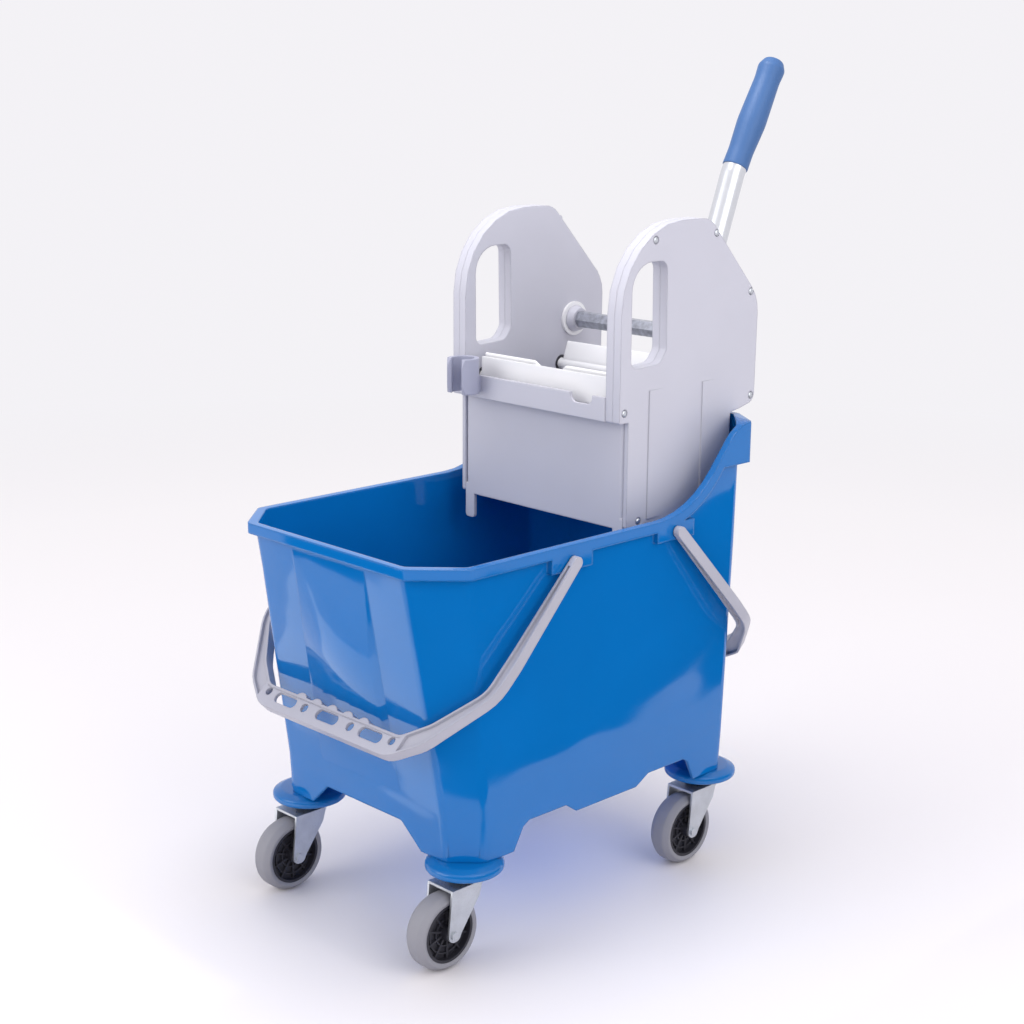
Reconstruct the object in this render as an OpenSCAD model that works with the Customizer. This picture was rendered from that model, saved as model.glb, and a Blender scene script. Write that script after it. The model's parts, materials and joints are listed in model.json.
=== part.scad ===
// Mop bucket on castors with a geared down-press wringer.
// X is the width, Y the length with the pouring end at -Y, Z up, floor at z = 0.

/* [Bucket] */
// Outer width of the bucket wall at the height of the front rim
bucket_w = 322; // [316:1:328]
// Distance from the castor centre line to the front wall at the rim
front_reach = 253; // [246:1:258]
// Height of the front rim
rim_h = 420; // [412:1:424]
// Height of the rear rim, which carries the wringer
rear_rim_h = 508; // [500:1:516]
// Thickness of the moulded bucket wall
wall_t = 3.5; // [2.8:0.1:4.5]
// How far the rim stands out from the wall
rim_out = 6.3; // [5:0.1:7]

/* [Castors] */
// Diameter of a castor wheel
wheel_d = 80; // [74:1:82]
// Width of a castor wheel
wheel_w = 28; // [24:1:30]
// How far a wheel axle trails its swivel axis
trail = 31; // [26:1:34]
// Diameter of the bumper disc above a castor
bumper_d = 81; // [72:1:86]

/* [Carrying handles] */
// Reach of a bail from its pivot to the outside of its grip bar
bail_reach = 258; // [252:1:262]
// Depth of a bail measured through its face
bail_t = 12; // [9:0.5:14]
// Diameter of a bail pivot pin
bail_pin_d = 8; // [6:0.5:9]

/* [Wringer] */
// Width over the two wringer housings
wringer_w = 254; // [246:1:262]
// Thickness of one wringer housing
housing_t = 20; // [19:0.5:23]
// Thickness of the housing walls
shell_t = 2.6; // [2:0.1:3.2]
// Thickness of a press plate
plate_t = 8; // [6:0.5:9]
// Height of a press plate below its hinge
plate_drop = 97; // [90:1:99]
// Bore of the clip for the mop handle
clip_bore = 25; // [22:0.5:27]

/* [Lever] */
// Distance of the lever from the middle of the wringer
lever_x = 72.5; // [68:0.5:76]
// Outer diameter of the lever tube
tube_d = 27; // [24:0.5:28]
// Length of the lever from the shaft to its bend
lever_lower = 185; // [170:1:200]
// Length of the hand grip
grip_l = 140; // [125:1:150]
// Backward lean of the lever at rest, in degrees
lever_lean = 20.5; // [16:0.5:24]
// Width across the flats of the shaft
hex_af = 17; // [15:0.5:18]

/* [Hidden] */
$fn = 64;
eps = 0.01;
fit = 0.05;       // radial clearance of a running fit
air = 0.3;        // gap between faces that pass each other

blue = "#1068b4";
grip_blue = "#5588cc";
grey = "#c4c4cc";
bail_grey = "#b4b6bc";
white = "#f2f2f0";
zinc = "#c9ccd0";
tyre_grey = "#8d8d92";
black = "#1e1e22";
silver = "#d8dade";

// Origin: middle of the overall length, on the floor
y_mid = 39.9;
lift = 3.2;

// Castor places
castor_x = 126;
castor_y = 183.5;
stem_d = 11;
leg_z = 107;
disc_z = 92;
axle_z = wheel_d / 2 - lift;
axle_d = 8;
crown_z = axle_z + wheel_d / 2 + 8;

// Bucket levels
floor_top = 146;
floor_bot = floor_top - wall_t;
hw = bucket_w / 2;
rim_hw = hw + rim_out;
rear_y = 225;
draft_z = 372;
skirt = 11;

// Gears
gear_m = 2;
gear_t = 8;
pressure = 25;
backlash = 0.2;
n_pinion = 12;
n_drive = 43;
n_pair = 63;

// Wringer levels and depths
hwr = wringer_w / 2;
hin = hwr - housing_t;
wb = rear_rim_h - 104;
step_z = wb + 116.4;
strip_z = wb + 142;
front_y = 33;
panel_y = 47;
back_y = 214;
hinge_z = wb + 136.4;
hinge_f = 61;
hinge_r = hinge_f + gear_m * n_pair;
journal_d = 13;
shaft_d = 14;
bush_d = 20;

mesh_dir = 69.8;
shaft_y = hinge_r + gear_m * (n_pinion + n_drive) / 2 * cos(mesh_dir);
shaft_z = hinge_z + gear_m * (n_pinion + n_drive) / 2 * sin(mesh_dir);
gear_x = hwr - shell_t - air - gear_t - 1.5;

// Bails
pivot_f = [-76, rim_h - 17];
pivot_r = [81, rim_h - 13.5];
hang_f = 46.5;
hang_r = 42.3;
bail_in = rim_hw + 1;

function unit(v) = v / norm(v);
function xy(p) = [p[0], p[1]];
function turn_left(u, w) = u[0] * w[1] - u[1] * w[0] > 0;

// Fillet of radius r at b, between the neighbours a and c, in n chords
function fillet(a, b, c, r, n) =
  r <= 0 ? [b] :
  let (u = unit(a - b), w = unit(c - b))
  let (half = acos(max(-1, min(1, u * w))) / 2, sweep = 180 - 2 * half)
  let (o = b + unit(u + w) * r / sin(half), f = b + u * r / tan(half) - o)
  let (a0 = atan2(f[1], f[0]), s = turn_left(u, w) ? -1 : 1, k = n > 0 ? n : ceil(sweep / 15))
  [for (i = [0:k]) o + r * [cos(a0 + s * sweep * i / k), sin(a0 + s * sweep * i / k)]];

// How far the fillet of radius r at b reaches along the two sides
function reach_of(a, b, c, r) = r <= 0 ? 0 : let (u = unit(a - b), w = unit(c - b)) r / tan(acos(max(-1, min(1, u * w))) / 2);

// Rounded outline of corners [x, y, radius], listed anticlockwise.
// Where two fillets would meet on a short side, both are limited to share it.
function smooth(p, n = 0) =
  let (m = len(p), q = [for (c = p) xy(c)])
  let (t = [for (i = [0:m - 1]) reach_of(q[(i + m - 1) % m], q[i], q[(i + 1) % m], p[i][2])])
  let (k = [for (i = [0:m - 1]) min(1, norm(q[(i + 1) % m] - q[i]) / max(eps, t[i] + t[(i + 1) % m]))])
  [for (i = [0:m - 1], f = fillet(q[(i + m - 1) % m], q[i], q[(i + 1) % m], p[i][2] * min(k[i], k[(i + m - 1) % m]), n)) f];

// The same corners moved inwards by d
function inset(p, d) =
  let (m = len(p))
  [for (i = [0:m - 1])
    let (a = xy(p[(i + m - 1) % m]), b = xy(p[i]), c = xy(p[(i + 1) % m]))
    let (u = unit(b - a), w = unit(c - b), nu = [-u[1], u[0]], nw = [-w[1], w[0]])
    let (q = b + (nu + nw) * d / (1 + nu * nw), r = p[i][2])
    [q[0], q[1], r == 0 ? 0 : max(0.2, turn_left(u, w) ? r - d : r + d)]];

// Corners mirrored about the second axis and joined into one closed outline
function both(p) = concat(p, [for (i = [len(p) - 1:-1:0]) [-p[i][0], p[i][1], p[i][2]]]);

module along_x(w) rotate([90, 0, 90]) linear_extrude(w, center = true) children();
module along_y(w) rotate([90, 0, 0]) linear_extrude(w, center = true) children();
module from_x(x, w) translate([x, 0, 0]) rotate([90, 0, 90]) linear_extrude(w) children();
module placed() translate([0, -y_mid, lift]) children();
module at_castor(sx, sy) translate([sx * castor_x, sy * castor_y, 0]) children();
module both_sides() { children(); mirror([1, 0, 0]) children(); }
module side(s) { if (s > 0) children(); else mirror([1, 0, 0]) children(); }

// Solid through closed rings of equal point count at rising heights
module loft(zs, rings) {
  n = len(rings[0]);
  m = len(rings);
  polyhedron(
    points = [for (k = [0:m - 1], p = rings[k]) [p[0], p[1], zs[k]]],
    faces = concat(
      [[for (i = [0:n - 1]) i]],
      [for (k = [0:m - 2], i = [0:n - 1]) let (j = (i + 1) % n) [k * n + i, k * n + n + i, k * n + n + j, k * n + j]],
      [[for (i = [n - 1:-1:0]) (m - 1) * n + i]]));
}

// ---- Bucket ----

// Half width and front wall position of the bucket at height z
slope_x = (hw - 155) / (rim_h - 14 - 155);
slope_f = (front_reach - 212) / (rim_h - 14 - 153);
function half_at(z) = z > 155 ? 155 + (z - 155) * slope_x : 155 - (155 - z) * 0.045;
function rear_at(z) = rear_y - max(0, draft_z - z) * 0.045;
function front_at(z) = z > 153 ? 212 + (z - 153) * slope_f : 212 - (153 - z) * 0.08;

// Plan of the bucket at height z: a rectangle with cut, softened corners
function plan_at(z) =
  let (x = half_at(z), f = front_at(z), r = rear_at(z), k = max(0, min(1, (z - 110) / 296)))
  let (cf = 28 + 18 * k, cr = [30 + 6 * k, 29 + 10 * k])
  [[-x, -f + cf, 14], [-x + cf, -f, 14], [x - cf, -f, 14], [x, -f + cf, 14],
   [x, r - cr[1], 14], [x - cr[0], r, 14], [-x + cr[0], r, 14], [-x, r - cr[1], 14]];

module shell_loft(zs, d) loft(zs, [for (z = zs) smooth(inset(plan_at(z), d), 3)]);

// Plan of the rim, with straight sides and cut corners
rim_f = front_reach + 7;
rim_plan = [[-rim_hw, -rim_f + 47, 10], [-rim_hw + 45, -rim_f, 10], [rim_hw - 45, -rim_f, 10],
  [rim_hw, -rim_f + 47, 10], [rim_hw, rear_y - 23, 8], [rim_hw - 41, rear_y + 5, 8],
  [-rim_hw + 41, rear_y + 5, 8], [-rim_hw, rear_y - 23, 8]];

// Swept line of the rim in side view: two arcs joined by their common tangent,
// lowered along its normal by d
sweep_y0 = 54;
sweep_y1 = 202;
sweep_h = sweep_y1 - sweep_y0;
rise = rear_rim_h - rim_h;
arcs = min(160, 0.95 * (sweep_h * sweep_h + rise * rise) / (2 * rise));
r_low = arcs * 23 / 32;
r_high = arcs - r_low;
sweep_v = rise - arcs;
sweep_a = atan2(sweep_v, sweep_h) + asin(arcs / norm([sweep_h, sweep_v]));
function rim_line(d) = concat(
  [for (i = [0:6]) let (a = sweep_a * i / 6) [sweep_y0, rim_h + r_low] + (r_low + d) * [sin(a), -cos(a)]],
  [for (i = [5:-1:0]) let (a = sweep_a * i / 5) [sweep_y1, rear_rim_h - r_high] + (r_high - d) * [-sin(a), cos(a)]]);
function below_rim(d) = concat([[-400, 60], [400, 60], [400, rear_rim_h - d]],
  [for (i = [len(rim_line(d)) - 1:-1:0]) rim_line(d)[i]], [[-400, rim_h - d]]);

// Openings under the skirt between the four legs
side_arch = smooth([[-140, 90, 0], [140, 90, 0], [140, leg_z, 0], [128, 131, 3], [120, 136, 3], [62, 136, 0],
  [43, 125, 3], [-50, 125, 3], [-66, 136, 0], [-120, 136, 3], [-128, 131, 3], [-140, leg_z, 0]]);
end_arch = smooth([[-88, 90, 0], [88, 90, 0], [88, leg_z, 0], [60, 133, 6], [-60, 133, 6], [-88, leg_z, 0]]);

// Raised centre panel of the pouring end
module front_boss() {
  y1 = -front_at(rim_h - 16);
  y2 = -front_at(300) - 6.5;
  y3 = -front_at(166);
  hull() {
    translate([0, y1 + 2, rim_h - 16]) cube([114, 4, 1], center = true);
    translate([0, y2 + 3, 300]) cube([102, 6, 1], center = true);
    translate([0, 3 - front_at(250) - 5, 250]) cube([102, 6, 1], center = true);
    translate([0, y3 + 2, 166]) cube([126, 4, 1], center = true);
  }
}

// Shelf that a wringer housing stands on, with two gussets
module ledge() {
  x0 = hwr - 11;
  x1 = half_at(wb) - 1;
  translate([x0, 104, wb - 4]) cube([x1 - x0, 50, 4]);
  for (y = [106, 152]) translate([0, y, 0]) along_y(4)
    polygon([[x0, wb - 3], [x0, wb - 7], [x1 - 2, wb - 19], [x1, wb - 19], [x1, wb - 3]]);
}

module bucket_body() {
  difference() {
    union() {
      intersection() {
        shell_loft([leg_z, 154, draft_z, rear_rim_h + 6], 0);
        along_x(400) polygon(below_rim(0));
      }
      difference() {
        intersection() {
          linear_extrude(rear_rim_h + 20) polygon(smooth(rim_plan, 3));
          along_x(400) polygon(below_rim(0));
        }
        along_x(420) polygon(below_rim(skirt));
      }
      both_sides() side_flange();
      both_sides() for (p = [pivot_f, pivot_r]) pivot_pad(p);
      front_boss();
    }
    shell_loft([floor_top, 154, draft_z, rear_rim_h + 7], wall_t);
    shell_loft([leg_z - 1, floor_bot], wall_t);
    rim_groove();
    along_x(400) polygon(side_arch);
    along_y(600) polygon(end_arch);
  }
}

// Hollow under the rim, between wall and skirt
module rim_groove() difference() {
  intersection() {
    linear_extrude(rear_rim_h + 20) polygon(smooth(inset(rim_plan, 2.6), 3));
    along_x(400) polygon(below_rim(3));
  }
  along_x(420) polygon(below_rim(skirt + 2));
  shell_loft([leg_z, 154, draft_z, rear_rim_h + 6], 0);
  both_sides() for (p = [pivot_f, pivot_r]) pivot_pad(p);
  both_sides() side_flange();
}

// Deeper skirt at each rear corner
module side_flange() {
  x0 = half_at(460) - 1;
  intersection() {
    union() {
      translate([rim_hw - 2.6, 150, wb + 59]) cube([2.6, 51, 60]);
      for (y = [150, 198.4]) translate([x0, y, wb + 59]) cube([rim_hw - x0, 2.6, 60]);
    }
    along_x(400) polygon(below_rim(1));
  }
}

// Thickened place under the rim for a bail pivot
module pivot_pad(p) {
  x0 = half_at(p[1]) - 1.5;
  translate([x0, p[0] - 29, p[1] - 9]) cube([rim_hw - x0, 58, 18]);
}

module castor_boss(sx, sy) at_castor(sx, sy) {
  translate([0, 0, leg_z]) cylinder(d = 31, h = floor_bot - leg_z + 1);
  for (a = [0:3]) rotate([0, 0, 90 * a]) translate([12, -1.5, leg_z + 6]) cube([11.5, 3, floor_bot - leg_z - 5]);
}

module bucket() color(blue) placed() difference() {
  union() {
    bucket_body();
    for (sx = [-1, 1], sy = [-1, 1]) castor_boss(sx, sy);
    both_sides() ledge();
  }
  for (sx = [-1, 1], sy = [-1, 1]) at_castor(sx, sy) translate([0, 0, leg_z - 1]) cylinder(d = stem_d, h = 30);
  both_sides() for (p = [pivot_f, pivot_r])
    translate([half_at(p[1]) - 1.5, p[0], p[1]]) rotate([0, 90, 0]) cylinder(d = bail_pin_d, h = 24);
}

// ---- Castors ----

module bumper(sx, sy) color(blue) placed() at_castor(sx, sy) rotate_extrude() {
  r = bumper_d / 2;
  polygon(smooth([[stem_d / 2, disc_z, 0], [r - 9, disc_z, 5], [r, disc_z + 4, 4.5], [r, disc_z + 11, 4],
    [r - 9, leg_z, 6], [stem_d / 2, leg_z, 0]]));
}

module castor_stem(sx, sy) color(black) placed() at_castor(sx, sy) {
  cylinder_stack = [[crown_z - 6.5, 11, 3], [crown_z - 3.5, 8, 4.1], [crown_z + 0.6, 16, disc_z - crown_z - 0.6]];
  for (c = cylinder_stack) translate([0, 0, c[0]]) cylinder(r = c[1], h = c[2] + eps);
  translate([0, 0, disc_z]) cylinder(d = stem_d, h = 40);
}

// Fork leg: upright front edge, sloping rear edge, round end about the axle
module fork_leg() difference() {
  polygon(smooth([[-trail - 7.6, axle_z - 7.6, 7.5], [-trail + 7.4, axle_z - 7.6, 7.5], [-trail + 9.4, axle_z - 1, 12],
    [3.5, crown_z - 15, 12], [8, crown_z, 0], [-trail - 2, crown_z, 0]]));
  translate([-trail, axle_z]) circle(d = axle_d);
}

module fork(sx, sy) color(zinc) placed() at_castor(sx, sy) {
  g = wheel_w / 2 + 2;
  difference() {
    union() {
      for (s = [-1, 1]) from_x(s > 0 ? g : -g - 2.5, 2.5) fork_leg();
      translate([-g - 2.5, -trail - 2, crown_z - 2.8]) cube([2 * g + 5, trail + 10, 2.8]);
      translate([0, 0, crown_z - 2.8]) cylinder(r = 18.5, h = 2.8);
    }
    translate([0, 0, crown_z - 5]) cylinder(r = 8 + fit, h = 8);
  }
}

module at_axle(sx, sy) at_castor(sx, sy) translate([0, -trail, axle_z]) rotate([0, 90, 0]) children();
rim_r = wheel_d / 2 - 9;

module tyre(sx, sy) color(tyre_grey) placed() at_axle(sx, sy) rotate_extrude($fn = 96) {
  w = wheel_w / 2;
  polygon(smooth([[rim_r, -w + 2, 0], [wheel_d / 2 - 5, -w, 2], [wheel_d / 2, -w + 7, 5], [wheel_d / 2, w - 7, 5],
    [wheel_d / 2 - 5, w, 2], [rim_r, w - 2, 0]]));
}

module hub(sx, sy) color(black) placed() at_axle(sx, sy) difference() {
  union() {
    w = wheel_w - 4;
    difference() {
      cylinder(r = rim_r, h = w, center = true, $fn = 96);
      cylinder(r = rim_r - 3, h = w + 1, center = true, $fn = 96);
    }
    cylinder(r = rim_r - 2, h = w - 14, center = true);
    cylinder(r = 8, h = wheel_w + 3.4, center = true);
    for (a = [0:9]) rotate([0, 0, 36 * a]) translate([0, -1, -w / 2 + 4]) cube([rim_r - 2, 2, w - 8]);
    for (r = [15, 23]) difference() {
      cylinder(r = r, h = w - 9, center = true);
      cylinder(r = r - 1.6, h = w, center = true);
    }
  }
  cylinder(d = axle_d + 2 * fit, h = wheel_w + 10, center = true);
}

module axle(sx, sy) color(silver) placed() at_axle(sx, sy) {
  g = wheel_w / 2 + 4.5;
  cylinder(d = axle_d, h = 2 * g + 2, center = true);
  for (s = [-1, 1]) translate([0, 0, s > 0 ? g : -g - 2.4]) cylinder(d = 9.5, h = 2.4, $fn = 6);
}

// ---- Carrying handles ----

// Right half of a bail in its own plane: outside then inside, pivot at the origin
bail_edge = [[102, -bail_reach, 30], [136, 24 - bail_reach, 40], [bail_in + 15, 95 - bail_reach, 50],
  [bail_in + 15.4, 133 - bail_reach, 60], [bail_in + 7, 8, 3]];
bail_side = [[bail_in, 8, 3], [bail_in + 2.6, 150 - bail_reach, 60], [bail_in + 2.6, 96 - bail_reach, 30],
  [132, 47 - bail_reach, 25], [104, 25 - bail_reach, 16]];
module bail_face(d) polygon(smooth(inset(both(concat(bail_edge, bail_side)), d)));

module bail_outline() difference() {
  union() {
    bail_face(0);
    for (i = [-2:2]) translate([25 * i, 20 - bail_reach]) circle(r = 9, $fn = 40);
  }
  for (x = [-68, 0, 68]) translate([x, 14.6 - bail_reach]) slot(34, 12);
  for (x = [-36.7, 36.7]) translate([x, 14.6 - bail_reach]) circle(d = 10, $fn = 24);
  for (x = [-98.6, 98.6]) translate([x, 17 - bail_reach]) circle(d = 9, $fn = 24);
}

// Long hole with round ends
module slot(l, w) {
  square([l - w, w], center = true);
  for (s = [-1, 1]) translate([s * (l - w) / 2, 0]) circle(d = w, $fn = 24);
}

module bail() difference() {
  intersection() {
    linear_extrude(bail_t, center = true) bail_outline();
    union() {
      translate([-rim_hw - 60, -bail_reach - 10, -bail_t]) cube([2 * rim_hw + 120, bail_reach + 10, 2 * bail_t]);
      rotate([0, 90, 0]) cylinder(d = bail_t, h = 2 * rim_hw + 120, center = true);
    }
  }
  both_sides() translate([bail_in - 2, 0, 0]) rotate([0, 90, 0]) cylinder(d = bail_pin_d + 2 * fit, h = 7.4);
  // Channel down both faces of each arm
  for (z = [-bail_t / 2 - 1, bail_t / 2 - 3.4]) translate([0, 0, z]) linear_extrude(4.4) difference() {
    bail_face(2.4);
    translate([-111, -bail_reach - 5]) square([222, 80]);
    translate([-rim_hw - 60, -9]) square([2 * rim_hw + 120, 40]);
  }
  // Hollow under the grip, and a fine line along its top
  translate([0, 0, -bail_t / 2 - 1]) linear_extrude(bail_t - 2.6) intersection() {
    bail_face(2.6);
    translate([-106, -bail_reach - 5]) square([212, 60]);
  }
  translate([0, 0, bail_t / 2 - 0.6]) linear_extrude(2) intersection() {
    difference() { bail_face(2.6); bail_face(3.6); }
    translate([-106, 17 - bail_reach]) square([212, 60]);
  }
}

module front_bail() color(bail_grey) placed() translate([0, pivot_f[0], pivot_f[1]]) rotate([90 - hang_f, 0, 0]) bail();
module rear_bail() color(bail_grey) placed() mirror([0, 1, 0])
  translate([0, -pivot_r[0], pivot_r[1]]) rotate([90 - hang_r, 0, 0]) bail();

module bail_pins() color(zinc) placed() both_sides() for (p = [pivot_f, pivot_r])
  translate([half_at(p[1]) - 1.5, p[0], p[1]]) rotate([0, 90, 0])
    cylinder(d = bail_pin_d, h = bail_in + 5.2 - half_at(p[1]) + 1.5);

// ---- Wringer ----

// Side view of a housing: round front top, sloping back, narrower part that hangs in the bucket
top_z = wb + 321.5;
housing = [[58, wb, 2], [back_y, wb, 6], [back_y, wb + 107, 4], [230, step_z - 7, 6], [255, step_z - 1, 12],
  [256, top_z - 91, 42], [169.5, top_z, 27], [front_y, top_z, 92], [front_y, step_z, 2], [58, step_z, 0]];
// Hand hole through the housing
grip_hole = [[49, wb + 171, 9], [94, wb + 173.5, 14], [104, wb + 187, 10], [102, wb + 281, 10], [48, wb + 281, 30]];
// Cover screw places
screws = [[83, wb + 303], [181, wb + 305], [243, wb + 238], [249, wb + 122], [40.5, wb + 127], [66, wb + 8]];

module housing_face(d = 0) polygon(smooth(inset(housing, d)));
module hand_hole(d = 0) polygon(smooth(inset(grip_hole, d)));

module inner_housing(s) color(grey) placed() side(s) difference() {
  union() {
    // Wall next to the mop
    from_x(hin, shell_t) difference() { housing_face(); hand_hole(); }
    // Edge all round and round the hand hole
    from_x(hin, housing_t / 2) difference() { housing_face(); housing_face(shell_t); }
    from_x(hin, housing_t / 2) difference() { hand_hole(-shell_t); hand_hole(); }
    for (p = screws) translate([hin, p[0], p[1]]) rotate([0, 90, 0]) cylinder(d = 9, h = housing_t / 2);
    for (y = [hinge_f, hinge_r]) translate([hin, y, hinge_z]) rotate([0, 90, 0]) cylinder(d = bush_d + 6, h = 4);
  }
  for (p = screws) translate([hin + 3, p[0], p[1]]) rotate([0, 90, 0]) cylinder(d = 4, h = 20);
  for (y = [hinge_f, hinge_r]) translate([hin - 1, y, hinge_z]) rotate([0, 90, 0]) cylinder(d = bush_d, h = 8);
  translate([hin - 1, shaft_y, shaft_z]) rotate([0, 90, 0]) cylinder(d = 24, h = 8);
}

// Raised wedge ribs on the outside of a cover
module wedge(y0, y1, z0, z1) translate([0, 0, z0]) rotate([0, 0, 0])
  linear_extrude(z1 - z0) polygon([[hwr - 0.5, y0], [hwr + 1.3, y0], [hwr - 0.2, y1]]);

module outer_cover(s) color(grey) placed() side(s) {
  x0 = hin + housing_t / 2;
  difference() {
    union() {
      translate([hwr, 0, 0]) mirror([1, 0, 0]) from_x(0, shell_t) difference() { housing_face(); hand_hole(); }
      from_x(x0, housing_t / 2) difference() { housing_face(); housing_face(shell_t); }
      from_x(x0, housing_t / 2) difference() { hand_hole(-shell_t); hand_hole(); }
      for (p = screws) translate([x0, p[0], p[1]]) rotate([0, 90, 0]) cylinder(d = 9, h = housing_t / 2 - 1);
    }
    for (p = screws) translate([x0 - 1, p[0], p[1]]) rotate([0, 90, 0]) cylinder(d = 4, h = 30);
    for (p = screws) translate([hwr - 1.6, p[0], p[1]]) rotate([0, 90, 0]) cylinder(d = 8.4, h = 10);
  }
  from_x(hwr - 5.2, 5.2) polygon(smooth([[panel_y, wb + 2, 3], [60, wb + 2, 0], [60, step_z + 1, 0], [panel_y, step_z + 1, 0]]));
  wedge(78, 106, wb + 8, wb + 147);
  wedge(164, 190, wb + 8, wb + 147);
}

module cover_screws() color(silver) placed() both_sides() for (p = screws)
  translate([hin + 3.5, p[0], p[1]]) rotate([0, 90, 0]) {
    cylinder(d = 4, h = housing_t - 4.5);
    translate([0, 0, housing_t - 5.1]) cylinder(d = 6.8, h = 1.4);
    translate([0, 0, housing_t - 3.7]) cylinder(d1 = 6.8, d2 = 4, h = 1);
  }

// Strip across the front, with a rest for the lever, on a shelf that steps back to the panel
module front_crossbar() color(grey) placed() difference() {
  union() {
    translate([-hin, front_y - 1, step_z]) cube([2 * hin, 3.6, strip_z - step_z]);
    translate([-hin, front_y, step_z]) cube([2 * hin, 20, shell_t]);
    for (x = [-80, -40, 0, 40]) translate([x, front_y, step_z]) cube([2.4, 14, 14]);
  }
  along_y(200) polygon(smooth([[lever_x - 16, strip_z + 9, 0], [lever_x - 16, strip_z - 10, 8],
    [lever_x + 16, strip_z - 10, 8], [lever_x + 16, strip_z + 9, 0]]));
}

// Plan of the front panel, folded back at both ends
panel_hw = hwr - 5.5;
function panel_plan(d) = [[-panel_hw + d, panel_y + d, 6 - d], [panel_hw - d, panel_y + d, 6 - d], [panel_hw - d, 58 + d, 0],
  [-panel_hw + d, 58 + d, 0]];

module front_panel() color(grey) placed() {
  difference() {
    translate([0, 0, wb]) linear_extrude(step_z - wb) polygon(smooth(panel_plan(0)));
    translate([0, 0, wb - 1]) linear_extrude(step_z - wb + 2) polygon(smooth(panel_plan(shell_t)));
  }
  // Two feet that reach below the panel
  both_sides() translate([panel_hw - 7.1, panel_y + 2, 0]) along_y(4)
    polygon(smooth([[-7.1, wb - 28, 4], [7.1, wb - 28, 4], [7.1, wb + 12, 0], [-7.1, wb + 12, 0]]));
}

// Back wall of the wringer, hooked over the rear rim of the bucket
module rear_panel() color(grey) placed() {
  difference() {
    translate([-hin, back_y - 3, wb]) cube([2 * hin, 3, rear_rim_h - wb + 3]);
    for (i = [-3:3]) translate([28 * i, 0, wb + 40]) along_y(600) slot_up(50, 10);
  }
  translate([-hin, back_y - 3, rear_rim_h]) cube([2 * hin, rear_y + 9 - back_y + 3, 3]);
  translate([-hin, rear_y + 6, rear_rim_h - 10]) cube([2 * hin, 3, 13]);
  for (i = [-3:3]) translate([28 * i - 15.2, back_y - 6, wb + grid_t + 1]) cube([2.4, 4, rear_rim_h - wb - 15]);
}
module slot_up(l, w) rotate(90) slot(l, w);

// Slatted floor that lets the water out
grid_t = 5;
module drain_grid() color(grey) placed() difference() {
  y0 = panel_y + shell_t;
  translate([-hin, y0, wb]) cube([2 * hin, back_y - 3 - y0, grid_t]);
  for (i = [-7:7], j = [0, 1]) translate([13 * i, y0 + 42 + 76 * j, wb - 1]) linear_extrude(8) slot_up(66, 8);
}

// Open ring that a mop handle snaps into
clip_r = clip_bore / 2;
clip_o = clip_r + 5.3;
clip_y = front_y - 2 - clip_o;
clip_x = -89.5;
clip_h = 39;
module mop_clip() color(grey) placed() translate([clip_x, clip_y, strip_z - 18]) difference() {
  union() {
    intersection() {
      cylinder(r = clip_o, h = clip_h);
      translate([0, 36, clip_h / 2]) rotate([0, 90, 0]) cylinder(r = 50, h = 60, center = true, $fn = 96);
    }
    translate([-9, 0, 0]) cube([18, clip_o + 1, 18]);
  }
  translate([0, 0, -1]) cylinder(r = clip_r, h = clip_h + 2);
  translate([0, 0, -1]) linear_extrude(clip_h + 2) polygon([[0, 0], [-26, -30], [26, -30]]);
}

module hinge_bushes() color(black) placed() both_sides() for (y = [hinge_f, hinge_r])
  translate([hin, y, hinge_z]) rotate([0, 90, 0]) difference() {
    cylinder(d = bush_d, h = 4);
    translate([0, 0, -1]) cylinder(d = journal_d + 2 * fit, h = 8);
  }

module shaft_bush(s) color(white) placed() side(s) translate([hin, shaft_y, shaft_z]) rotate([0, 90, 0]) difference() {
  union() {
    translate([0, 0, -3]) cylinder(d = 40, h = 3);
    cylinder(d = 24, h = 4.2);
  }
  translate([0, 0, -5]) cylinder(d = shaft_d + 2 * fit, h = 12);
}

// Press plate about its hinge: side view, leaning out at the top, with its drain holes
module press_plate(notch) {
  difference() {
    union() {
      along_x(2 * (hin - 8)) polygon(smooth([[5 - plate_t, -plate_drop + 2, 3], [5, -plate_drop, 3], [5, 8, 8],
        [-1.5, 27, 1.5], [-5.5, 27, 1.5], [5 - plate_t, 8, 8]]));
      rotate([0, 90, 0]) cylinder(d = journal_d + 3, h = 2 * (hin - 8), center = true);
      for (i = [-3:3]) translate([28 * i - 1.2, 1 - plate_t, -plate_drop + 8]) cube([2.4, 5, plate_drop - 12]);
    }
    if (notch) translate([2, 0, 0]) along_y(60) polygon([[-25, 30], [-25, 27], [-17, 21], [17, 21], [25, 27], [25, 30]]);
    for (i = [-3:2], j = [0:2]) translate([28 * i + 14, 0, -28 - 24 * j]) rotate([90, 0, 0]) cylinder(d = 9, h = 40, center = true, $fn = 24);
  }
  rotate([0, 90, 0]) cylinder(d = journal_d, h = 2 * (gear_x + gear_t + 0.8), center = true);
}

module front_plate() color(white) placed() translate([0, hinge_f, hinge_z]) press_plate(true);
module rear_plate() color(white) placed() translate([0, hinge_r, hinge_z]) mirror([0, 1, 0]) press_plate(false);

// ---- Gears ----

function involute(a) = tan(a) - a * PI / 180;
function half_tooth(n, r) =
  let (rp = gear_m * n / 2, rb = rp * cos(pressure), base = r > rb ? involute(acos(rb / r)) : 0)
  90 / n + (involute(pressure) - base - backlash / 2 / rp) * 180 / PI;
function polar(r, a) = r * [cos(a), sin(a)];

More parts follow.
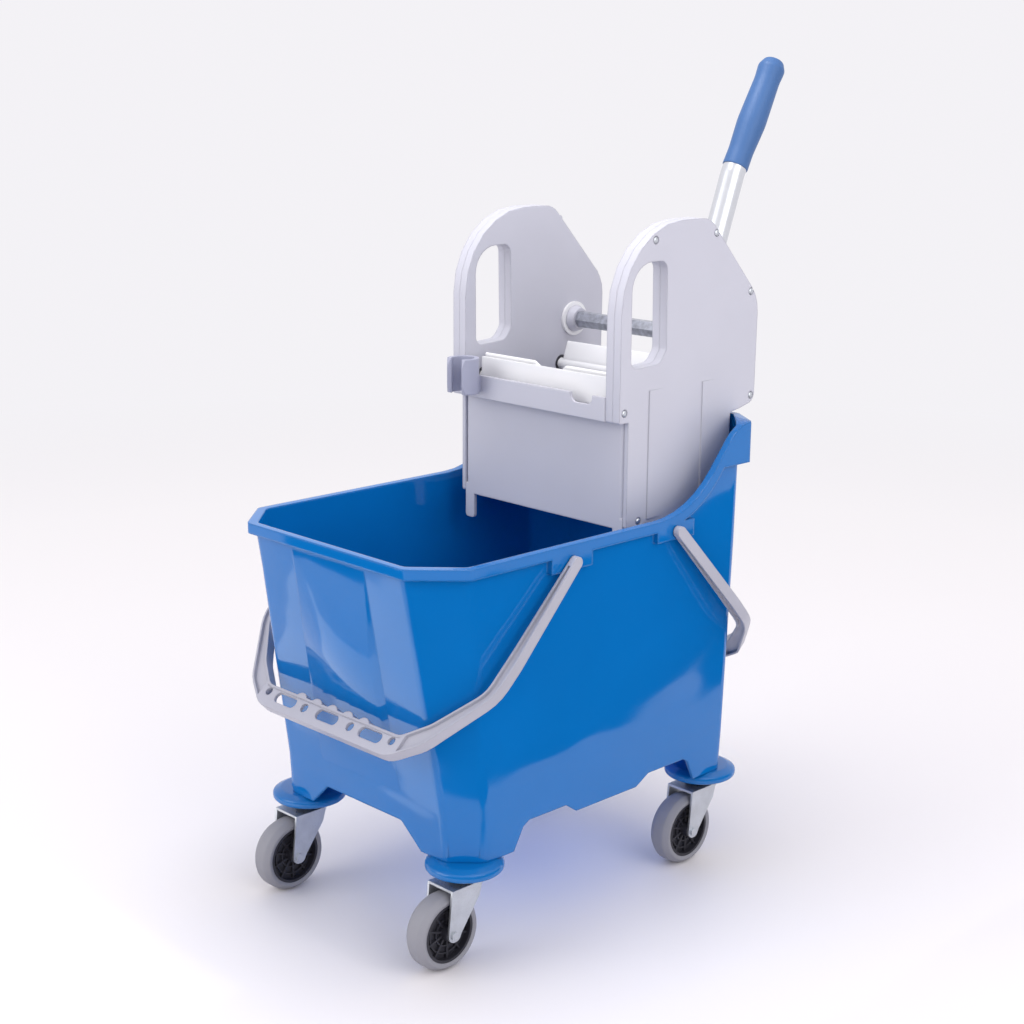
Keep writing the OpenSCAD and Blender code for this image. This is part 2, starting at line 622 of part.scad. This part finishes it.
// Outline of one tooth centred on angle c, from root to root
function tooth(n, c) =
  let (rp = gear_m * n / 2, root = rp - 1.25 * gear_m, tip = rp + 0.95 * gear_m, r0 = max(root, rp * cos(pressure)))
  let (rs = concat(r0 > root ? [root] : [], [for (k = [0:4]) r0 + (tip - r0) * k / 4]))
  concat([for (r = rs) polar(r, c - half_tooth(n, r))],
    [for (i = [len(rs) - 1:-1:0]) polar(rs[i], c + half_tooth(n, rs[i]))]);

// Toothed sector of k teeth, the first centred on angle a
module sector(n, a, k) polygon(concat([[0, 0], polar(gear_m * n / 2 - 1.25 * gear_m, a - 150 / n)],
  [for (i = [0:k - 1], q = tooth(n, a + 360 / n * i)) q],
  [polar(gear_m * n / 2 - 1.25 * gear_m, a + 360 / n * (k - 1) + 150 / n)]));

module gear_disc(s, y, z, bore) color(zinc) placed() side(s)
  translate([0, y, z]) from_x(gear_x, gear_t) difference() {
    union() children();
    circle(d = bore);
  }

module pinion(s) gear_disc(s, shaft_y, shaft_z, shaft_d)
  polygon([for (i = [0:n_pinion - 1], q = tooth(n_pinion, mesh_dir + 180 + 360 / n_pinion * i)) q]);

module rear_sector(s) gear_disc(s, hinge_r, hinge_z, journal_d) {
  circle(r = 17);
  sector(n_drive, mesh_dir - 540 / n_drive, 8);
  sector(n_pair, 180 - 360 / n_pair, 9);
}

module front_sector(s) gear_disc(s, hinge_f, hinge_z, journal_d) {
  circle(r = 17);
  sector(n_pair, -360 / n_pair * 6.5, 8);
}

// ---- Lever ----

module hex_x(af, x, w) from_x(x, w) circle(d = af / cos(30), $fn = 6);

module lever_shaft() color(zinc) placed() translate([0, shaft_y, shaft_z]) {
  x1 = hin - 3 - air;
  hex_x(hex_af, -x1, 2 * x1);
  rotate([0, 90, 0]) cylinder(d = shaft_d, h = 2 * (gear_x + gear_t + 0.8), center = true);
}

module shaft_collars() color(grey) placed() translate([0, shaft_y, shaft_z]) both_sides() difference() {
  translate([hin - 3 - air, 0, 0]) rotate([0, -90, 0]) cylinder(d1 = 31, d2 = 25, h = 9);
  hex_x(hex_af, hin - 20, 20);
}

// Turns what points up so that it lies along the lever
module along_lever() placed() translate([lever_x, shaft_y, shaft_z]) rotate([-lever_lean, 0, 0]) children();

module lever_socket() color(zinc) difference() {
  along_lever() {
    difference() {
      union() {
        rotate([0, 90, 0]) cylinder(d = 36, h = 30, center = true);
        cylinder(d = tube_d + 6, h = 64);
      }
      translate([0, 0, 19]) cylinder(d = tube_d, h = 60);
      translate([0, 0, 42]) rotate([0, 90, 0]) cylinder(d = 6, h = 60, center = true);
    }
  }
  placed() translate([0, shaft_y, shaft_z]) hex_x(hex_af, lever_x - 30, 60);
}

module socket_bolt() color(silver) along_lever() translate([0, 0, 42]) rotate([0, 90, 0]) {
  w = tube_d / 2 + 3;
  cylinder(d = 6, h = 2 * w + 4, center = true);
  for (s = [-1, 1]) translate([0, 0, s * (w + 2)]) cylinder(d = 10, h = 4, center = true, $fn = 6);
}

// The tube runs straight from its socket, then bends a little further back inside the grip
bend = 8.2;
module tube_path(d, a, b) {
  translate([0, 0, a]) cylinder(d = d, h = lever_lower - a);
  translate([0, 0, lever_lower]) sphere(d = d);
  translate([0, 0, lever_lower]) rotate([-bend, 0, 0]) cylinder(d = d, h = b);
}

module lever_tube() color(silver) along_lever() difference() {
  tube_path(tube_d, 20, grip_l - 14);
  tube_path(tube_d - 4, 19, grip_l - 13);
  translate([0, 0, 42]) rotate([0, 90, 0]) cylinder(d = 6, h = 60, center = true);
}

module hand_grip() color(grip_blue) along_lever() translate([0, 0, lever_lower]) rotate([-bend, 0, 0])
  rotate_extrude() difference() {
    r = tube_d / 2;
    l = grip_l;
    polygon(smooth([[0, 8, 0], [r + 1.1, 8, 0.8], [r + 0.7, 28, 40], [r + 2.8, 0.45 * l, 60], [r + 0.9, 0.82 * l, 40],
      [r + 2, l - 10, 8], [r - 3, l, 6], [0, l, 0]]));
    translate([0, 7]) square([r, l - 20]);
  }

bucket();
bumper(-1, -1);  // bumper_front_left
bumper(1, -1);  // bumper_front_right
bumper(-1, 1);  // bumper_rear_left
bumper(1, 1);  // bumper_rear_right
castor_stem(-1, -1);  // castor_stem_front_left
castor_stem(1, -1);  // castor_stem_front_right
castor_stem(-1, 1);  // castor_stem_rear_left
castor_stem(1, 1);  // castor_stem_rear_right
fork(-1, -1);  // fork_front_left
fork(1, -1);  // fork_front_right
fork(-1, 1);  // fork_rear_left
fork(1, 1);  // fork_rear_right
tyre(-1, -1);  // tyre_front_left
tyre(1, -1);  // tyre_front_right
tyre(-1, 1);  // tyre_rear_left
tyre(1, 1);  // tyre_rear_right
hub(-1, -1);  // hub_front_left
hub(1, -1);  // hub_front_right
hub(-1, 1);  // hub_rear_left
hub(1, 1);  // hub_rear_right
axle(-1, -1);  // axle_front_left
axle(1, -1);  // axle_front_right
axle(-1, 1);  // axle_rear_left
axle(1, 1);  // axle_rear_right
front_bail();
rear_bail();
bail_pins();
inner_housing(-1);  // inner_housing_left
inner_housing(1);  // inner_housing_right
outer_cover(-1);  // outer_cover_left
outer_cover(1);  // outer_cover_right
cover_screws();
front_crossbar();
front_panel();
rear_panel();
drain_grid();
mop_clip();
hinge_bushes();
shaft_bush(-1);  // shaft_bush_left
shaft_bush(1);  // shaft_bush_right
front_plate();
rear_plate();
front_sector(-1);  // front_sector_left
front_sector(1);  // front_sector_right
rear_sector(-1);  // rear_sector_left
rear_sector(1);  // rear_sector_right
lever_shaft();
shaft_collars();
pinion(-1);  // pinion_left
pinion(1);  // pinion_right
lever_socket();
socket_bolt();
lever_tube();
hand_grip();
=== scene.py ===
import bpy, bmesh, json, math
from mathutils import Matrix, Vector

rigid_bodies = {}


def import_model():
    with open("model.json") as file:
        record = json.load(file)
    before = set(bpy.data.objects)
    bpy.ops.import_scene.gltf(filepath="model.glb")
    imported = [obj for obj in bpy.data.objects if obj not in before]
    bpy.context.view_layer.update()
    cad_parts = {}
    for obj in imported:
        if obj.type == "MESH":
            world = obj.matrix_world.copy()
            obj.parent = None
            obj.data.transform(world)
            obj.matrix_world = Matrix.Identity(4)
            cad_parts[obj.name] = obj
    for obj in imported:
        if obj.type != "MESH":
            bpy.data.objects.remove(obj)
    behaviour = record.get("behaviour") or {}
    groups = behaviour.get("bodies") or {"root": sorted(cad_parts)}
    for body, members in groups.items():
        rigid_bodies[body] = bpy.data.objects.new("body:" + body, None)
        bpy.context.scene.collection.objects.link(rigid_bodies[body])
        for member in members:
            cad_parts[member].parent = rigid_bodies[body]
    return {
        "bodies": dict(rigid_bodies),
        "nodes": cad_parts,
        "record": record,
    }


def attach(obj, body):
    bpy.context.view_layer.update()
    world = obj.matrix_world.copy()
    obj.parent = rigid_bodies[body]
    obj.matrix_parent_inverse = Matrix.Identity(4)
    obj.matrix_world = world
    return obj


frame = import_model()
nodes, bodies = frame["nodes"], frame["bodies"]
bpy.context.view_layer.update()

# ---- Camera at the photograph's angle ----

CAMERA_LENS = 62.71
CAMERA_SENSOR = 36.0
CAMERA_AT = (1.3452, -1.3511, 0.8783)
CAMERA_RIGHT = (0.697486, 0.716563, 0.007163)
CAMERA_UP = (-0.177029, 0.162613, 0.970679)
CAMERA_BACK = (0.694388, -0.678303, 0.240273)


def make_camera():
    cam = bpy.data.cameras.new("camera")
    cam.sensor_width = CAMERA_SENSOR
    cam.lens = CAMERA_LENS
    cam.clip_end = 50
    ob = bpy.data.objects.new("camera", cam)
    bpy.context.scene.collection.objects.link(ob)
    m = Matrix((CAMERA_RIGHT, CAMERA_UP, CAMERA_BACK)).transposed().to_4x4()
    m.translation = CAMERA_AT
    ob.matrix_world = m
    bpy.context.scene.camera = ob


make_camera()

# ---- Node helpers ----


class Mat:
    """Small builder for a Principled material with object-space procedural detail."""
    def __init__(self, name, color, rough=0.4, metallic=0.0, **sockets):
        self.m = bpy.data.materials.new(name)
        self.m.use_nodes = True
        self.t = self.m.node_tree
        self.t.nodes.clear()
        self.out = self.t.nodes.new("ShaderNodeOutputMaterial")
        self.p = self.t.nodes.new("ShaderNodeBsdfPrincipled")
        self.t.links.new(self.p.outputs[0], self.out.inputs[0])
        self.p.inputs["Base Color"].default_value = (*color, 1)
        self.p.inputs["Roughness"].default_value = rough
        self.p.inputs["Metallic"].default_value = metallic
        for k, v in sockets.items():
            self.p.inputs[k.replace("_", " ")].default_value = v
        self.normal = None
        self.co = self.t.nodes.new("ShaderNodeTexCoord")

    def new(self, kind, **kw):
        n = self.t.nodes.new(kind)
        for k, v in kw.items():
            setattr(n, k, v)
        return n

    def link(self, a, b):
        self.t.links.new(a, b)

    def noise(self, scale, detail=2.0, stretch=(1, 1, 1), rough=0.5):
        mp = self.new("ShaderNodeMapping")
        mp.inputs["Scale"].default_value = stretch
        self.link(self.co.outputs["Object"], mp.inputs["Vector"])
        n = self.new("ShaderNodeTexNoise")
        n.inputs["Scale"].default_value = scale
        n.inputs["Detail"].default_value = detail
        n.inputs["Roughness"].default_value = rough
        self.link(mp.outputs[0], n.inputs["Vector"])
        return n.outputs["Fac"]

    def remap(self, fac, lo, hi, to_lo, to_hi):
        r = self.new("ShaderNodeMapRange")
        for i, v in enumerate((lo, hi, to_lo, to_hi)):
            r.inputs[i + 1].default_value = v
        self.link(fac, r.inputs[0])
        return r.outputs[0]

    def bump(self, fac, strength=0.1, distance=0.001):
        b = self.new("ShaderNodeBump")
        b.inputs["Strength"].default_value = strength
        b.inputs["Distance"].default_value = distance
        self.link(fac, b.inputs["Height"])
        if self.normal:
            self.link(self.normal, b.inputs["Normal"])
        self.normal = b.outputs[0]
        self.link(self.normal, self.p.inputs["Normal"])

    def bevel(self, radius):
        b = self.new("ShaderNodeBevel", samples=6)
        b.inputs["Radius"].default_value = radius
        self.normal = b.outputs[0]
        self.link(self.normal, self.p.inputs["Normal"])

    def mix(self, fac, a, b):
        x = self.new("ShaderNodeMix", data_type="RGBA")
        x.inputs[6].default_value = (*a, 1)
        x.inputs[7].default_value = (*b, 1)
        self.link(fac, x.inputs[0])
        return x.outputs[2]

    def vary(self, fac, a, b):
        self.link(self.mix(fac, a, b), self.p.inputs["Base Color"])

    def vary_rough(self, fac, lo, hi):
        self.link(self.remap(fac, 0.3, 0.7, lo, hi), self.p.inputs["Roughness"])


def tone(c, k):
    return tuple(min(1.0, v * k) for v in c)


def plastic(name, color, rough, grain, spread, edge, wave=0.0):
    """Moulded plastic: faint flow marks in colour and gloss, fine grain, softened edges, and slow waves."""
    m = Mat(name, color, rough)
    m.bevel(edge)
    if wave:
        m.bump(m.noise(7.0, 1.0, (1, 1, 1.5)), 1.0, wave)
    big = m.noise(9.0, 3.0)
    m.vary(m.remap(big, 0.3, 0.7, 0, 1), tone(color, 1 - spread), tone(color, 1 + spread))
    m.vary_rough(m.noise(40.0, 4.0), rough * 0.88, rough * 1.15)
    m.bump(m.noise(900.0, 2.0), grain, 0.0003)
    return m


def metal(name, color, rough, stretch=(1, 1, 1), spread=0.08, spots=60.0):
    """Metal: spots of lighter and darker colour, and fine lines in the gloss along the stretch."""
    m = Mat(name, color, rough, metallic=0.8)
    m.bevel(0.0004)
    m.vary(m.remap(m.noise(spots, 4.0), 0.3, 0.7, 0, 1), tone(color, 1 - spread), tone(color, 1 + spread))
    line = m.noise(700.0, 2.0, stretch)
    k = min(0.25, 2.5 * spread)
    m.vary_rough(line, rough * (1 - k), rough * (1 + k))
    m.bump(line, 0.6 * spread, 0.0002)
    return m


def lin(h):
    """Linear colour from an sRGB hex string."""
    v = [int(h[i:i + 2], 16) / 255 for i in (0, 2, 4)]
    return tuple(x / 12.92 if x < 0.04045 else ((x + 0.055) / 1.055) ** 2.4 for x in v)


def make_materials():
    t = {}
    t["bucket_blue"] = plastic("bucket_blue", lin("066ab4"), 0.07, 0.02, 0.03, 0.003, wave=0.004)
    t["bumper_blue"] = plastic("bumper_blue", lin("0a6ab2"), 0.14, 0.03, 0.04, 0.002)
    t["wringer_grey"] = plastic("wringer_grey", lin("c0c0cb"), 0.42, 0.12, 0.02, 0.0024)
    t["bail_grey"] = plastic("bail_grey", lin("aeaeba"), 0.36, 0.10, 0.03, 0.0016)
    t["clip_grey"] = plastic("clip_grey", lin("a2a4b8"), 0.40, 0.08, 0.03, 0.0015)
    t["white_plastic"] = plastic("white_plastic", lin("ececee"), 0.35, 0.05, 0.01, 0.002)
    t["hub_black"] = plastic("hub_black", lin("2a2a33"), 0.55, 0.12, 0.08, 0.0006)
    t["grip_blue"] = plastic("grip_blue", lin("365f94"), 0.45, 0.10, 0.03, 0.001)
    t["tyre_grey"] = plastic("tyre_grey", lin("8c8c94"), 0.62, 0.30, 0.06, 0.002)
    t["zinc"] = metal("zinc", lin("c8ccd2"), 0.32, (1, 1, 6))
    t["shaft_zinc"] = metal("shaft_zinc", lin("b0b3bc"), 0.4, (2, 2, 2), spread=0.28, spots=160.0)
    t["tube_aluminium"] = metal("tube_aluminium", lin("d4d6db"), 0.26, (1, 1, 0.05), spread=0.02)
    t["dark_steel"] = plastic("dark_steel", lin("2c2c30"), 0.5, 0.1, 0.1, 0.0005)
    return t


mats = make_materials()
slots = {s["node"]: s["material_slot"] for s in frame["record"]["subparts"]}
SHARP = 28  # Edges over this angle, in degrees, stay sharp
SHARP_BAIL = 46  # The bails' rounds are made of fewer facets


def dress(ob, mat, sharp=SHARP):
    """Material and soft shading: welded corners, with only the real edges kept sharp."""
    ob.data.materials.clear()
    ob.data.materials.append(mat)
    if "custom_normal" in ob.data.attributes:
        ob.data.attributes.remove(ob.data.attributes["custom_normal"])
    ob.data.polygons.foreach_set("use_smooth", [True] * len(ob.data.polygons))
    w = ob.modifiers.new("weld", "WELD")
    w.merge_threshold = 0.00001
    e = ob.modifiers.new("edges", "EDGE_SPLIT")
    e.split_angle = math.radians(sharp)


for name, ob in nodes.items():
    slot = "shaft_zinc" if name == "lever_shaft" else slots[name]
    dress(ob, mats[slot].m, SHARP_BAIL if name.endswith("_bail") else SHARP)

# ---- Front lip of the front press plate, over its hinge rod ----

LIP_Y, LIP_Z = 0.0104, 0.5436  # Back of the lip, and the height of the hinge rod
LIP_HALF = 0.0985
LIP_THICK = 0.0022
LIP_BELOW, LIP_ABOVE = 0.008, 0.0235
LIP_STEPS = 28
LIP_SAG = 0.0003


def make_lip():
    """Moulded lip: a long slab with rounded edges in front of the rod, with faint steps along its face."""
    prof = [(0, -LIP_BELOW), (LIP_THICK, -LIP_BELOW), (LIP_THICK, LIP_ABOVE), (0, LIP_ABOVE)]
    bm = bmesh.new()
    rings = []
    for i in range(LIP_STEPS + 1):
        x = -LIP_HALF + 2 * LIP_HALF * i / LIP_STEPS
        sag = LIP_SAG * math.cos(math.pi * i)
        rings.append([bm.verts.new((x, LIP_Y + y - (0 if y else sag), LIP_Z + z)) for y, z in prof])
    for a, b in zip(rings, rings[1:]):
        for k in range(4):
            bm.faces.new((a[k], a[(k + 1) % 4], b[(k + 1) % 4], b[k]))
    bm.faces.new(rings[0][::-1])
    bm.faces.new(rings[-1])
    bmesh.ops.recalc_face_normals(bm, faces=bm.faces)
    me = bpy.data.meshes.new("front_plate_lip")
    bm.to_mesh(me)
    ob = bpy.data.objects.new("front_plate_lip", me)
    bpy.context.scene.collection.objects.link(ob)
    dress(ob, mats["white_plastic"].m)
    bv = ob.modifiers.new("round", "BEVEL")
    bv.width, bv.segments = 0.0008, 3
    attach(ob, "front_jaw")


make_lip()

# ---- Floor and light ----

SKY = (0.98, 0.965, 1.0)
SKY_POWER = 0.92
FLOOR_RADIUS = 40
FLOOR_SIDES = 96
# Floor colours: the near one is painted shade under the object, the far one is the plain floor further out
FLOOR_NEAR_SHADED, FLOOR_FAR = (0.80, 0.775, 0.795), (0.91, 0.885, 0.885)


def make_stage():
    """Wide floor that fades into the sky's own colour, so that no horizon shows from any side."""
    me = bpy.data.meshes.new("floor")
    around = [i * math.tau / FLOOR_SIDES for i in range(FLOOR_SIDES)]
    pts = [(FLOOR_RADIUS * math.cos(a), FLOOR_RADIUS * math.sin(a), 0) for a in around]
    me.from_pydata(pts, [], [tuple(range(FLOOR_SIDES))])
    ob = bpy.data.objects.new("floor", me)
    bpy.context.scene.collection.objects.link(ob)
    m = Mat("stage_white", FLOOR_NEAR_SHADED, 0.42, Specular_IOR_Level=0.1)
    m.vary_rough(m.noise(3.0), 0.38, 0.5)
    far = m.new("ShaderNodeVectorMath", operation="LENGTH")
    m.link(m.co.outputs["Object"], far.inputs[0])
    # Painted shade: the floor's colour is a little darker under the object than away from it, then all sky
    # from 3 m on
    m.vary(m.remap(far.outputs["Value"], 0.5, 1.8, 0, 1), FLOOR_NEAR_SHADED, FLOOR_FAR)
    glow = m.new("ShaderNodeEmission")
    glow.inputs["Color"].default_value = (*SKY, 1)
    glow.inputs["Strength"].default_value = SKY_POWER
    blend = m.new("ShaderNodeMixShader")
    m.link(m.remap(far.outputs["Value"], 1.1, 3.0, 0, 1), blend.inputs[0])
    m.link(m.p.outputs[0], blend.inputs[1])
    m.link(glow.outputs[0], blend.inputs[2])
    m.link(blend.outputs[0], m.out.inputs[0])
    me.materials.append(m.m)


make_stage()


def area(name, loc, target, size, size_y, power, color=(1, 1, 1)):
    li = bpy.data.lights.new(name, "AREA")
    li.shape = "RECTANGLE"
    li.size, li.size_y = size, size_y
    li.energy = power
    li.color = color
    ob = bpy.data.objects.new(name, li)
    bpy.context.scene.collection.objects.link(ob)
    ob.location = loc
    ob.rotation_euler = (Vector(target) - Vector(loc)).to_track_quat("-Z", "Y").to_euler()


def gloss_only(name, pts, faces, glow):
    """A studio card or flag that only the gloss of the part sees."""
    me = bpy.data.meshes.new(name)
    me.from_pydata(pts, [], faces)
    ob = bpy.data.objects.new(name, me)
    bpy.context.scene.collection.objects.link(ob)
    m = Mat("stage_" + name, (0.005, 0.006, 0.008), 0.9, Specular_IOR_Level=0.0)
    m.vary(m.noise(4.0), (0.004, 0.005, 0.008), (0.006, 0.007, 0.01))
    if glow:
        m.p.inputs["Emission Color"].default_value = (1, 1, 1, 1)
        m.p.inputs["Emission Strength"].default_value = glow
    me.materials.append(m.m)
    ob.visible_camera = ob.visible_diffuse = ob.visible_shadow = ob.visible_transmission = False


def flags(points, height):
    """Low black flags from the front left round the near side to the right rear."""
    pts = []
    for a, r in points:
        a = math.radians(a)
        pts += [(r * math.cos(a), r * math.sin(a), z) for z in (0.004, height)]
    gloss_only("flags", pts, [(2 * i, 2 * i + 2, 2 * i + 3, 2 * i + 1) for i in range(len(points) - 1)], 0.0)


# Flag corners: angle round the object in degrees, and distance from its middle
FLAGS = [(-138, 1.3), (-117, 1.2), (-100, 1.05), (-80, 0.80), (-62, 0.60), (-49, 0.54), (-25, 0.48),
         (0, 0.46), (18, 0.47), (29, 0.51), (43, 0.61), (52, 0.72), (60, 0.85)]
FLAG_HEIGHT = 0.3
CARD = [(-0.75, -0.78), (0.02, -0.78), (0.02, -0.42), (-0.6, -0.42)]
CARD_Z = 0.006
CARD_GLOW = 1.9


def make_light():
    w = bpy.data.worlds.new("studio")
    w.use_nodes = True
    bg = w.node_tree.nodes["Background"]
    bg.inputs[0].default_value = (*SKY, 1)
    bg.inputs[1].default_value = SKY_POWER
    sc = bpy.context.scene
    sc.world = w
    sc.view_settings.view_transform = "Standard"
    area("top_soft", (0.1, 0.1, 2.6), (0, 0, 0.2), 2.8, 2.8, 7)
    area("key_right", (2.2, -0.2, 1.5), (0, 0, 0.35), 1.8, 1.8, 16)
    area("key_front", (-0.9, -2.5, 1.5), (0, 0, 0.35), 1.8, 1.6, 22)
    area("well_soft", (0, -0.1, 1.5), (0, -0.1, 0.3), 0.5, 0.5, 5)
    area("bounce_blue", (0, 0, 0.135), (0, 0, 0), 0.2, 0.26, 0.1, (0.22, 0.36, 1.0))
    flags(FLAGS, FLAG_HEIGHT)
    gloss_only("card", [(x, y, CARD_Z) for x, y in CARD], [(0, 1, 2, 3)], CARD_GLOW)


make_light()
